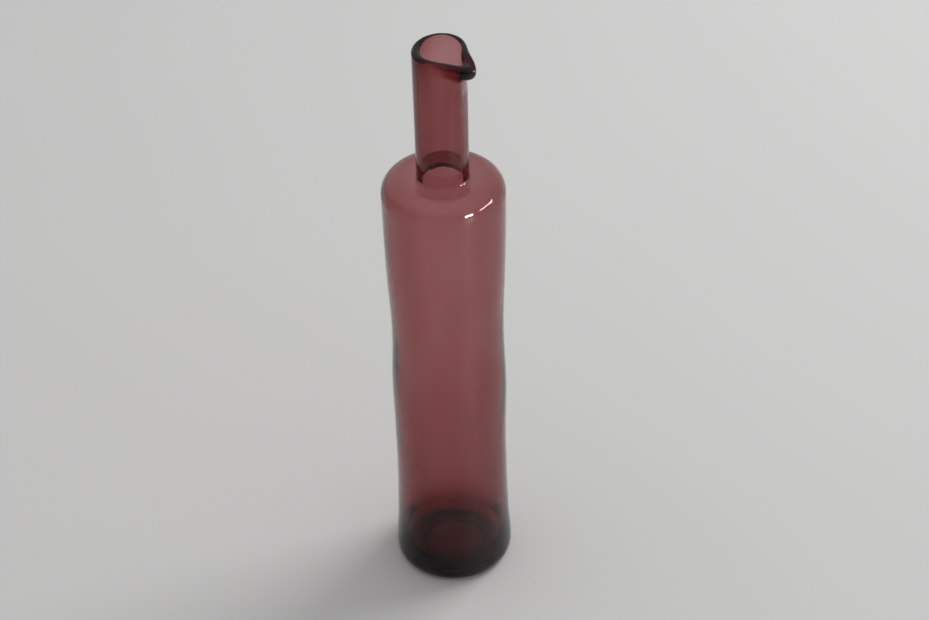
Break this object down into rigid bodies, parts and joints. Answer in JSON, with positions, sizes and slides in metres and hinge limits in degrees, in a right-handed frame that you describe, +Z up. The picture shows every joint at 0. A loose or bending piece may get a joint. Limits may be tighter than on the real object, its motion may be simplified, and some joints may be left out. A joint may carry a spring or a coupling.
{
  "type": "glass bottle",
  "caption": "Slim round blown glass bottle with a flat rounded shoulder, straight neck, slanted fire-polished mouth and a pulled pouring lip, for keeping and pouring liquids.",
  "frame": {"origin": "centre of the base on the resting plane", "axes": "+Z up along the bottle's axis, +X towards the pouring lip"},
  "size_m": [0.0604, 0.0604, 0.3011],
  "materials": {
    "plum_glass": "clear, fire-polished"
  },
  "bodies": {
    "root": {"base": "plum_glass", "heel": "plum_glass", "body_wall": "plum_glass", "shoulder": "plum_glass", "neck": "plum_glass", "lip_rim": "plum_glass", "pouring_lip": "plum_glass"}
  },
  "joints": []
}
